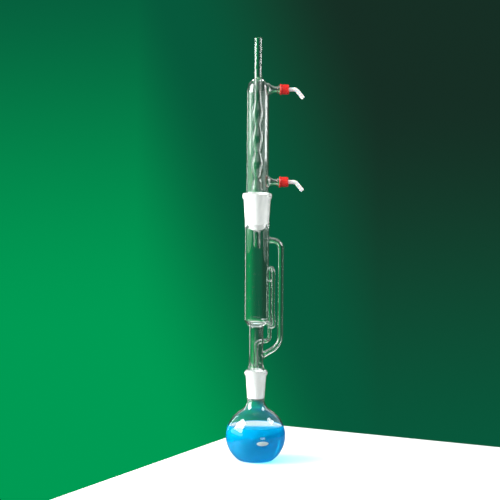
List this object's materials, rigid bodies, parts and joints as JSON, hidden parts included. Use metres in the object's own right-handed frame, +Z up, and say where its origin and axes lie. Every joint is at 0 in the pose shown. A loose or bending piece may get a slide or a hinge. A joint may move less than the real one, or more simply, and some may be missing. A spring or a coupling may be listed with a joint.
{
  "type": "soxhlet extractor",
  "caption": "Glass Soxhlet extraction set: flat-based flask, siphon extractor and jacketed bulb condenser with screw-capped angled hose ports.",
  "frame": {"origin": "centre of the flask's flat base, on the apparatus axis", "axes": "+Z up along the apparatus axis; both water ports, the siphon and the vapour arm point along +X; +Y is away from the viewer"},
  "size_m": [0.1341, 0.1048, 0.7447],
  "materials": {
    "clear_glass": "clear, polished",
    "ground_glass": "ground, frosted white",
    "blue_liquid": "clear blue liquid",
    "red_cap": "satin moulded",
    "white_nozzle": "satin moulded",
    "silicone_seal": "matte"
  },
  "bodies": {
    "flask": {"flask_bulb": "clear_glass", "flask_socket": "ground_glass", "flask_liquid": "blue_liquid"},
    "extractor": {"extractor_socket": "ground_glass", "extractor_chamber": "clear_glass", "extractor_stem": "clear_glass", "extractor_cone": "ground_glass", "vapour_arm": "clear_glass", "siphon_riser": "clear_glass", "siphon_down_leg": "clear_glass", "siphon_drip_tube": "clear_glass", "siphon_brace": "clear_glass"},
    "condenser": {"condenser_jacket": "clear_glass", "condenser_bulb_tube": "clear_glass", "condenser_cone": "ground_glass", "upper_port": "clear_glass", "lower_port": "clear_glass"},
    "upper_seal": {"upper_seal": "silicone_seal"},
    "upper_cap": {"upper_cap": "red_cap"},
    "upper_nozzle": {"upper_hose_barb": "white_nozzle"},
    "lower_seal": {"lower_seal": "silicone_seal"},
    "lower_cap": {"lower_cap": "red_cap"},
    "lower_nozzle": {"lower_hose_barb": "white_nozzle"}
  },
  "joints": [
    {"name": "extractor_lift", "type": "slide", "parent": "flask", "child": "extractor", "axis": [0, 0, 1], "range_m": [0, 0.06]},
    {"name": "condenser_lift", "type": "slide", "parent": "extractor", "child": "condenser", "axis": [0, 0, 1], "range_m": [0, 0.105]},
    {"name": "upper_seal_slide", "type": "slide", "parent": "condenser", "child": "upper_seal", "axis": [1, 0, 0], "range_m": [0, 0.0076]},
    {"name": "upper_cap_turn", "type": "hinge", "parent": "upper_seal", "child": "upper_cap", "pos_m": [0.0489, 0, 0.6548], "axis": [1, 0, 0], "range_deg": [0, 1080]},
    {"name": "upper_nozzle_swivel", "type": "hinge", "parent": "upper_seal", "child": "upper_nozzle", "pos_m": [0.0489, 0, 0.6548], "axis": [1, 0, 0], "continuous": true},
    {"name": "lower_seal_slide", "type": "slide", "parent": "condenser", "child": "lower_seal", "axis": [1, 0, 0], "range_m": [0, 0.0076]},
    {"name": "lower_cap_turn", "type": "hinge", "parent": "lower_seal", "child": "lower_cap", "pos_m": [0.0489, 0, 0.4933], "axis": [1, 0, 0], "range_deg": [0, 1080]},
    {"name": "lower_nozzle_swivel", "type": "hinge", "parent": "lower_seal", "child": "lower_nozzle", "pos_m": [0.0489, 0, 0.4933], "axis": [1, 0, 0], "continuous": true}
  ],
  "couplings": [
    {"joint": "upper_seal_slide", "follows": "upper_cap_turn", "m_per_rad": 0.00039789},
    {"joint": "lower_seal_slide", "follows": "lower_cap_turn", "m_per_rad": 0.00039789}
  ]
}
